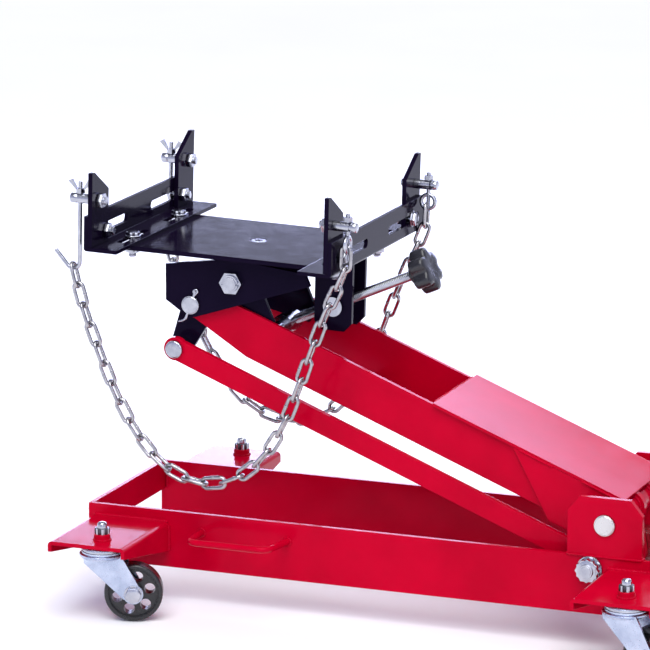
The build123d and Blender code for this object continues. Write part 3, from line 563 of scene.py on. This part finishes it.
# %% Chain bolt threads
BARREL_Z = 530.0
BOLT_OUT = 14.0
for word, side in (("left", -1), ("right", 1)):
    bm = bmesh.new()
    for face, inward in ((FRONT_FACE, 1), (REAR_FACE, -1)):
        y = side * 147
        shank = on_deck(face - inward * BOLT_OUT, y, BARREL_Z)
        top_length = 7.6 if inward == 1 else 2.6
        thread(bm, 2.8, 1.0, top_length, placed(shank + leaned_up * 0.0132, leaned_up), 0.2, steps=14)
        thread(bm, 2.8, 1.0, 30.0, placed(shank - leaned_up * 0.0370, leaned_up), 0.2, steps=14)
        barrel_end = on_deck(face - inward * 26, y, BARREL_Z)
        lathe(bm, [(0.0, 1.0), (5.2, 0.9), (6.3, 0.3), (6.7, -0.6), (6.7, -9.0), (6.4, -9.4)],
              placed(barrel_end, -leaned_x * inward))
        nut = on_deck(face + inward * 11.2, y, BARREL_Z)
        hexagon(bm, 17.4, 8.4, placed(nut, leaned_x * inward), 0.9)
        thread(bm, 5.0, 1.5, 3.2, placed(nut + leaned_x * inward * 0.0085, leaned_x * inward), 0.2)
    finish_piece(bm, word + "_chain_bolt_threads", word + "_chain_set", "zinc")

# %% [markdown]
# ## The tilt screw
# Turning the knob draws the trunnion along this screw and tips the deck. Its thread is coarse
# enough to see from a distance, so it is modelled as a real helical ridge.

# %% Tilt screw thread and knob
screw_axis = Vector(joints["knob_turn"]["axis"]).normalized()
screw_foot = pivot("knob_turn")
bm = bmesh.new()
thread(bm, 6.45, 2.5, 175.0, placed(screw_foot + screw_axis * 0.020, screw_axis), 0.4)
finish_piece(bm, "tilt_screw_thread", "tilt_screw", "zinc")

# %% [markdown]
# The knob is a moulded star. A circle is pulled in between six lobes, lifted into a body by
# extruding its rim, and closed with a domed top. A bevel softens its shoulders.

# %% Knob
KNOB_RADIUS = 29.5
LOBES = 6


def star_radius(angle, radius):
    """Radius of the knob at an angle: full at a lobe and scooped between two."""
    dip = (0.5 - 0.5 * math.cos(LOBES * angle)) ** 1.6
    return radius * (1 - 0.235 * dip)


def star_ring(bm, radius, height):
    ring = bmesh.ops.create_circle(bm, cap_ends=False, segments=96, radius=1.0)["verts"]
    for vert in ring:
        angle = math.atan2(vert.co.y, vert.co.x)
        reach = star_radius(angle, radius) * MM
        vert.co = Vector((reach * math.cos(angle), reach * math.sin(angle), height * MM))
    return {edge for vert in ring for edge in vert.link_edges}


bm = bmesh.new()
levels = [(14.0, 0.0), (27.5, 0.0), (29.0, 1.4), (KNOB_RADIUS, 4.0), (KNOB_RADIUS, 17.0), (29.0, 19.8),
          (27.0, 21.6), (22.0, 22.2), (15.0, 22.6), (9.0, 21.6)]
rings = [star_ring(bm, radius, height) for radius, height in levels]
for lower, upper in zip(rings, rings[1:]):
    bmesh.ops.bridge_loops(bm, edges=list(lower | upper))
bmesh.ops.edgeloop_fill(bm, edges=list(rings[-1]))
bmesh.ops.edgeloop_fill(bm, edges=list(rings[0]))
bmesh.ops.transform(bm, matrix=placed(screw_foot + screw_axis * 0.1990, screw_axis), verts=bm.verts)
lathe(bm, [(6.9, 0.2), (12.0, 0.2), (12.6, 1.0), (13.4, 8.4), (6.9, 8.4)],
      placed(screw_foot + screw_axis * 0.1908, screw_axis), closed=True)
knob = finish_piece(bm, "moulded_knob", "tilt_screw", "knob_black", sharp=55)
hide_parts("tilt_knob")

# %% [markdown]
# ## Pins and cotters
# The front arm pin is kept by a split cotter. Its legs are one wire folded double: a small eye on
# one side of the pin and two spread tails on the other. A curve with a round bevel draws it.

# %% Cotter pins


def wire(name, points, radius, body, slot_name):
    """A bent wire through the given places, as a smooth curve turned into a mesh."""
    curve = bpy.data.curves.new(name, "CURVE")
    curve.dimensions = "3D"
    curve.bevel_depth = radius * MM
    curve.bevel_resolution = 3
    curve.use_fill_caps = True
    spline = curve.splines.new("NURBS")
    spline.points.add(len(points) - 1)
    for spot, point in zip(spline.points, points):
        spot.co = (*point, 1)
    spline.order_u = 3
    spline.use_endpoint_u = True
    holder = bpy.data.objects.new(name + "_curve", curve)
    bpy.context.scene.collection.objects.link(holder)
    bpy.context.view_layer.update()
    drawn = holder.evaluated_get(bpy.context.evaluated_depsgraph_get())
    bm = bmesh.new()
    shape = bpy.data.meshes.new_from_object(drawn)
    bm.from_mesh(shape)
    bpy.data.objects.remove(holder)
    bpy.data.curves.remove(curve)
    bpy.data.meshes.remove(shape)
    return finish_piece(bm, name, body, slot_name, sharp=60)


head_pin = pivot("head_level")
for word, side in (("left", -1), ("right", 1)):
    y = side * 89.6
    pin_x = (head_pin.x - FRAME_FRONT) / MM
    pin_z = head_pin.z / MM
    eye = [(pin_x + 4.6, y, pin_z + 12.5), (pin_x + 5.6, y, pin_z + 15), (pin_x + 3.9, y, pin_z + 19),
           (pin_x + 8.0, y, pin_z + 22), (pin_x + 10.8, y, pin_z + 18), (pin_x + 7.2, y, pin_z + 15),
           (pin_x + 5.6, y, pin_z + 12.5)]
    wire(word + "_cotter_eye", [at(*point) for point in eye], 1.4, "lift_arm", "zinc")
    tails = [(pin_x - 4.0, y, pin_z - 11), (pin_x - 6.5, y, pin_z - 18), (pin_x - 11, y, pin_z - 22),
             (pin_x - 17, y, pin_z - 23)]
    wire(word + "_cotter_tail", [at(*point) for point in tails], 1.4, "lift_arm", "zinc")

# %% [markdown]
# The pins turn in the plates with a chamfered end, and a thin washer lies under each head.

# %% Pin ends
bm = bmesh.new()
for side in (-1, 1):
    lathe(bm, [(0.0, 0.6), (10.6, 0.6), (12.15, -0.9), (12.15, -3.0)],
          placed(head_pin + Vector((0, side * 0.0915, 0)), (0, side, 0)))
    lathe(bm, [(12.2, 0.1), (18.8, 0.1), (19.2, 0.5), (19.2, 1.3), (18.8, 1.7), (12.2, 1.7)],
          placed(head_pin + Vector((0, side * 0.0718, 0)), (0, side, 0)), closed=True)
finish_piece(bm, "arm_pin_ends", "lift_arm", "zinc")

link_front = Vector((head_pin.x + (link_pin.x - pivot("lift").x), 0, head_pin.z + link_pin.z - pivot("lift").z))
bm = bmesh.new()
for side in (-1, 1):
    lathe(bm, [(0.0, 0.9), (8.6, 0.9), (11.0, 0.2), (11.8, -0.9), (11.8, -4.4), (8.2, -4.6)],
          placed(link_front + Vector((0, side * 0.103, 0)), (0, side, 0)))
finish_piece(bm, "link_pin_heads", "head", "zinc")

bm = bmesh.new()
for side in (-1, 1):
    lathe(bm, [(0.0, 0.5), (12.0, 0.5), (13.65, -1.0), (13.65, -2.6), (12.6, -2.8)],
          placed(pivot("lift") + Vector((0, side * 0.125, 0)), (0, side, 0)))
finish_piece(bm, "shaft_ends", "chassis", "steel")

# %% [markdown]
# ## Casters
# The swivel bearing is a pair of pressed raceways with balls between them. The lower raceway is a
# rolled lip on the fork's crown, and the upper one is a pressed cup under the outrigger. Both are
# round about the stud, so they stay clear as the fork swivels.

# %% Raceways and wheel detail
for corner in ("front_left", "front_right", "rear_left", "rear_right"):
    stud = pivot(corner + "_swivel")
    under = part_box(corner + "_outrigger")[1].z - 0.005
    bm = bmesh.new()
    lathe(bm, [(8.6, -1.2), (25.0, -1.2), (28.4, -2.0), (29.2, -3.6), (28.4, -4.8), (26.4, -5.2), (8.6, -5.2)],
          placed((stud.x, stud.y, under)), closed=True, steps=48)
    finish_piece(bm, corner + "_upper_raceway", "chassis", "fork_zinc")
    bm = bmesh.new()
    fork_low = 0.0843
    lathe(bm, [(26.0, 1.2), (28.6, 1.4), (30.0, 3.0), (29.6, 5.4), (27.8, 6.6), (26.0, 6.4)],
          placed((stud.x, stud.y, fork_low)), closed=True, steps=48)
    finish_piece(bm, corner + "_lower_raceway", corner + "_fork", "fork_zinc")

# %% [markdown]
# The wheel spins on a bolt through the fork. A chamfered head closes one side and a nut the
# other. The tyre carries a thin moulding line where the two halves of its mould met.

# %% Axle heads and tyre lines
for corner in ("front_left", "front_right", "rear_left", "rear_right"):
    axle = Vector(joints[corner + "_roll"]["pos_m"])
    spin_axis = Vector(joints[corner + "_roll"]["axis"]).normalized()
    side = -1 if "left" in corner else 1
    bm = bmesh.new()
    for sign, reach in ((side, 6.4), (-side, 5.4)):
        face = axle + spin_axis * sign * 0.0181
        hexagon(bm, 18.5, reach, placed(face, spin_axis * sign), 1.1)
        lathe(bm, [(6.0, 0.0), (11.5, 0.0), (11.9, 0.4), (11.9, 1.2), (6.0, 1.2)],
              placed(face, spin_axis * sign), closed=True)
    finish_piece(bm, corner + "_axle_heads", corner + "_fork", "zinc")
    bm = bmesh.new()
    lathe(bm, [(37.6, -0.45), (37.98, 0.0), (37.6, 0.45)], placed(axle, spin_axis), closed=True, steps=72)
    for sign in (-1, 1):
        lathe(bm, [(32.0, 0.0), (32.5, 0.5), (33.0, 0.0)], placed(axle + spin_axis * sign * 0.01195, spin_axis * sign),
              closed=True, steps=64)
        lathe(bm, [(6.2, 0.0), (9.0, 0.0), (9.6, 0.5), (9.0, 0.9), (6.2, 0.9)],
              placed(axle + spin_axis * sign * 0.0139, spin_axis * sign), closed=True, steps=40)
    finish_piece(bm, corner + "_tyre_lines", corner + "_wheel", "wheel_black")

# %% [markdown]
# ## Restraint chains
# A load is held down by a welded chain on each side, hung in a deep loop between the hook bolt
# and the eye bolt. One link is half a bow, spun from a round section, stretched to the middle and
# mirrored, with the small lump of its weld. Links then follow the route, each turned a quarter
# from the last. The route's points are those of the frame's plain chain.

# %% One chain link
WIRE = 5.0
LINK_WIDTH = 18.5
LINK_LENGTH = 37.6
BEND = (LINK_WIDTH - WIRE) / 2
HALF_STRAIGHT = (LINK_LENGTH - LINK_WIDTH) / 2


def make_link_mesh():
    bm = bmesh.new()
    start = Matrix.Translation((HALF_STRAIGHT * MM, BEND * MM, 0)) @ Matrix.Rotation(math.pi / 2, 4, "Y")
    ring = bmesh.ops.create_circle(bm, cap_ends=False, segments=10, radius=WIRE * MM / 2, matrix=start)["verts"]
    rim = list({edge for vert in ring for edge in vert.link_edges})
    turned = bmesh.ops.spin(bm, geom=ring + rim, cent=(HALF_STRAIGHT * MM, 0, 0), axis=(0, 0, 1),
                            dvec=(0, 0, 0), angle=-math.pi, steps=9, use_merge=False,
                            use_normal_flip=False, use_duplicate=False)
    last = [item for item in turned["geom_last"] if isinstance(item, bmesh.types.BMEdge)]
    for edges in (rim, last):
        grown = bmesh.ops.extrude_edge_only(bm, edges=edges)["geom"]
        for vert in (item for item in grown if isinstance(item, bmesh.types.BMVert)):
            vert.co.x = 0
    bmesh.ops.mirror(bm, geom=bm.verts[:] + bm.edges[:] + bm.faces[:], axis="X", merge_dist=1e-5)
    lump = Matrix.Translation((0, BEND * MM, 0)) @ Matrix.Diagonal((1.5, 1.0, 1.0, 1.0))
    bmesh.ops.create_icosphere(bm, subdivisions=2, radius=WIRE * MM * 0.56, matrix=lump)
    bmesh.ops.recalc_face_normals(bm, faces=bm.faces)
    mesh = bpy.data.meshes.new("chain_link")
    bm.to_mesh(mesh)
    bm.free()
    return mesh


link_mesh = make_link_mesh()
print("link faces", len(link_mesh.polygons))

# %% [markdown]
# The route is a smooth NURBS line. Blender gives its points when the curve is turned into a mesh
# with no bevel, and the links are then set out at even steps along them.

# %% Route reading


def read_route(points):
    """Points along the smooth line that the route's points control."""
    curve = bpy.data.curves.new("route", "CURVE")
    curve.dimensions = "3D"
    curve.resolution_u = 12
    spline = curve.splines.new("NURBS")
    spline.points.add(len(points) - 1)
    for spot, point in zip(spline.points, points):
        spot.co = (*point, 1)
    spline.order_u = 3
    spline.use_endpoint_u = True
    spline.resolution_u = 12
    holder = bpy.data.objects.new("route", curve)
    bpy.context.scene.collection.objects.link(holder)
    bpy.context.view_layer.update()
    drawn = holder.evaluated_get(bpy.context.evaluated_depsgraph_get())
    line = bpy.data.meshes.new_from_object(drawn)
    places = [vert.co.copy() for vert in line.vertices]
    bpy.data.objects.remove(holder)
    bpy.data.curves.remove(curve)
    bpy.data.meshes.remove(line)
    return places


def walk(places, distance):
    """The place at a distance along a line of places."""
    for start, end in zip(places, places[1:]):
        step = (end - start).length
        if distance <= step:
            return start.lerp(end, distance / step)
        distance -= step
    return places[-1].copy()


LEFT_ROUTE = [(-7, 446), (5, 396), (26, 342), (49, 284), (80, 228), (119, 187), (157, 171), (193, 170),
              (229, 184), (260, 213), (285, 252), (305, 300), (323, 352), (341, 400), (356, 434),
              (372, 465), (373, 484), (373, 497)]
RIGHT_ROUTE = [(-7, 446), (5, 398), (26, 347), (49, 292), (80, 239), (119, 201), (157, 187), (193, 186),
               (229, 199), (260, 226), (285, 263), (305, 308), (323, 356), (341, 400), (356, 434),
               (372, 465), (373, 484), (373, 497)]
CHAIN_Y = 147.0
print("route points", len(LEFT_ROUTE), len(RIGHT_ROUTE))

# %% [markdown]
# The saddle comes down with the arm while the chain keeps its length. A real chain would pile up between its bolts.
# The links here are one fixed mesh hung on the chain set.

# %% Hang the chains
CHAINS = {"left": (-1, LEFT_ROUTE, 28), "right": (1, RIGHT_ROUTE, 27)}
for word, (side, route, count) in CHAINS.items():
    places = read_route([at(x, side * CHAIN_Y, z) for x, z in route])
    length = sum((end - start).length for start, end in zip(places, places[1:]))
    bm = bmesh.new()
    for k in range(count):
        start = walk(places, length * k / count)
        end = walk(places, length * (k + 1) / count)
        along = (end - start).normalized()
        across = Vector((0, 1, 0))
        basis = Matrix((along, across, along.cross(across))).transposed().to_4x4()
        roll = (math.pi / 2 if k % 2 else 0) + scatter.uniform(-0.10, 0.10) * (0 < k < count - 1)
        known = set(bm.verts)
        bm.from_mesh(link_mesh)
        made = [vert for vert in bm.verts if vert not in known]
        spot = Matrix.Translation((start + end) / 2) @ basis @ Matrix.Rotation(roll, 4, "X")
        bmesh.ops.transform(bm, matrix=spot, verts=made)
    chain = finish_piece(bm, word + "_chain_links", word + "_chain_set", "chain_zinc", sharp=60)
    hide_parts(word + "_chain")
    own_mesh(chain)
    print(word, "chain", round(length, 3), "m,", count, "links")
bpy.data.meshes.remove(link_mesh)

# %% [markdown]
# ## The pump end
# The hydraulic unit at the rear has a gland nut round the ram, screws in its base and a filler
# plug. The grip on the pump handle is ribbed rubber, turned as one outline.

# %% Gland, base screws and filler plug
ram_low, ram_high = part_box("ram_cylinder")
ram_middle = (ram_low + ram_high) / 2
bm = bmesh.new()
lathe(bm, [(14.6, -4.0), (26.0, -4.0), (27.0, -3.0), (27.0, 2.0), (31.4, 2.0), (32.0, 3.0), (32.0, 9.5), (14.6, 9.5)],
      placed((ram_low.x, ram_middle.y, ram_middle.z), (1, 0, 0)), closed=True, steps=48)
finish_piece(bm, "ram_gland", "chassis", "steel")

plate_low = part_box("power_unit_plate")[0]
bm = bmesh.new()
for x in (plate_low.x + 0.040, plate_low.x + 0.070):
    for side in (-1, 1):
        spot = Vector((x, side * 0.075, plate_low.z + 0.008))
        lathe(bm, [(6.0, 0.1), (13.0, 0.1), (13.0, 1.6), (6.0, 1.6)], placed(spot), closed=True)
        hexagon(bm, 17.0, 7.0, placed(spot + UP * 0.0015), 0.9)
finish_piece(bm, "base_screws", "chassis", "zinc")

bm = bmesh.new()
plug = at(935, 0, 140)
lathe(bm, [(0.0, 9.0), (5.5, 9.0), (6.5, 8.2), (6.5, 2.0), (10.0, 2.0), (10.4, 1.4), (10.4, 0.0)], placed(plug))
finish_piece(bm, "filler_plug", "chassis", "knob_black")

# %% [markdown]
# The grip slides over the handle tube. Its ribs are rings of one outline, and the end is domed.

# %% Ribbed grip
handle_root = pivot("pump_stroke")
grip_low, grip_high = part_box("handle_grip")
BACK = math.radians(30.0)
handle_axis = Vector((math.sin(BACK), 0, math.cos(BACK)))
GRIP_START = 640.0
GRIP_LENGTH = 128.0
RIB = 8.0
outline = [(16.4, 0.0), (19.0, 0.0)]
for k in range(14):
    low = 4.0 + k * RIB
    outline += [(19.0, low), (19.0, low + 4.6), (17.7, low + 5.4), (17.7, low + 7.2)]
outline += [(19.0, GRIP_LENGTH - 9), (19.0, GRIP_LENGTH - 3), (17.5, GRIP_LENGTH - 0.6), (14.0, GRIP_LENGTH),
            (0.0, GRIP_LENGTH)]
bm = bmesh.new()
lathe(bm, outline, placed(handle_root + handle_axis * GRIP_START * MM, handle_axis), steps=40)
grip = finish_piece(bm, "ribbed_grip", "pump_handle", "grip_rubber", sharp=50)
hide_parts("handle_grip")

# %% [markdown]
# ## Floor, lights and camera
# The jack stands on a plain pale floor in a bright room. A wide soft sun gives even light with a
# faint shadow, the sky is brightest near the horizon so that level paint picks up a pale sheen,
# and one large panel above adds a clean highlight.

# %% Floor and sky
bm = bmesh.new()
bmesh.ops.create_grid(bm, x_segments=2, y_segments=2, size=30.0)
floor_mesh = bpy.data.meshes.new("floor")
bm.to_mesh(floor_mesh)
bm.free()
floor = bpy.data.objects.new("floor", floor_mesh)
bpy.context.scene.collection.objects.link(floor)
floor.location.z = cad_low.z - 0.0005
floor_mesh.materials.append(make_finish("floor_pale", [(0.90, 0.90, 0.91), (0.88, 0.88, 0.89)], (0.7, 0.8),
                                        mottle_scale=2.0, skin=(200.0, 0.01), edge=0.0))

world = bpy.data.worlds.new("bright_room")
bpy.context.scene.world = world
world.use_nodes = True
sky_nodes = world.node_tree.nodes
sky_links = world.node_tree.links
background = sky_nodes["Background"]
direction = sky_nodes.new("ShaderNodeTexCoord")
split = sky_nodes.new("ShaderNodeSeparateXYZ")
ramp = sky_nodes.new("ShaderNodeValToRGB")
ramp.color_ramp.elements[0].position = 0.0
ramp.color_ramp.elements[0].color = (0.68, 0.72, 1.0, 1)
ramp.color_ramp.elements[1].position = 1.0
ramp.color_ramp.elements[1].color = (0.06, 0.06, 0.08, 1)
middle = ramp.color_ramp.elements.new(0.48)
middle.color = (0.50, 0.52, 0.66, 1)
sky_links.new(direction.outputs["Generated"], split.inputs["Vector"])
sky_links.new(split.outputs["Z"], ramp.inputs["Fac"])
sky_links.new(ramp.outputs["Color"], background.inputs["Color"])
background.inputs["Strength"].default_value = 1.05
print("floor at", round(floor.location.z, 4))

# %% Lights


def add_light(name, kind, place, target, energy, size, colour=(1.0, 1.0, 1.0)):
    """A sun with an angle, or a rectangular panel with a width and a height."""
    light = bpy.data.lights.new(name, kind)
    light.energy = energy
    light.color = colour
    if kind == "AREA":
        light.shape = "RECTANGLE"
        light.size, light.size_y = size
    else:
        light.angle = size
    holder = bpy.data.objects.new(name, light)
    bpy.context.scene.collection.objects.link(holder)
    holder.location = place
    holder.rotation_mode = "QUATERNION"
    holder.rotation_quaternion = (Vector(target) - Vector(place)).to_track_quat("-Z", "Y")
    holder.visible_camera = False
    return holder


middle_of_jack = (cad_low + cad_high) / 2
COOL = (0.58, 0.62, 1.0)
add_light("wide_sun", "SUN", (0.5, -1.5, 3.0), middle_of_jack, 2.9, math.radians(50))
add_light("top_panel", "AREA", (0.2, 0.9, 2.3), middle_of_jack, 22.0, (1.8, 1.8))
add_light("front_panel", "AREA", (1.6, -2.6, 1.5), middle_of_jack, 12.0, (1.4, 1.4))
add_light("low_back_panel", "AREA", (-1.2, 3.0, 0.70), (-1.2, 0.0, 0.70), 46.0, (2.8, 0.62), COOL)
add_light("high_back_panel", "AREA", (-0.2, 3.0, 1.95), (-0.2, 0.0, 1.95), 28.0, (2.0, 0.85), COOL)
print("lights", 5)

# %% [markdown]
# The camera stands to the left of the jack and a little behind it, and looks down by about
# thirteen degrees through a long lens.

# %% Camera
AZIMUTH = math.radians(21.592)
ELEVATION = math.radians(13.026)
LENS = 249.2
camera_data = bpy.data.cameras.new("long_lens")
camera_data.lens = LENS
camera_data.sensor_width = 36.0
camera_data.clip_start = 0.1
camera_data.clip_end = 100.0
camera = bpy.data.objects.new("long_lens", camera_data)
bpy.context.scene.collection.objects.link(camera)
camera.location = at(2395.98, -5330.38, 1685.23)
sight = Vector((-math.sin(AZIMUTH) * math.cos(ELEVATION), math.cos(AZIMUTH) * math.cos(ELEVATION),
                -math.sin(ELEVATION)))
camera.rotation_mode = "QUATERNION"
camera.rotation_quaternion = sight.to_track_quat("-Z", "Y")
bpy.context.scene.camera = camera
bpy.context.scene.view_settings.view_transform = "Standard"
print("camera", [round(value, 3) for value in camera.location])
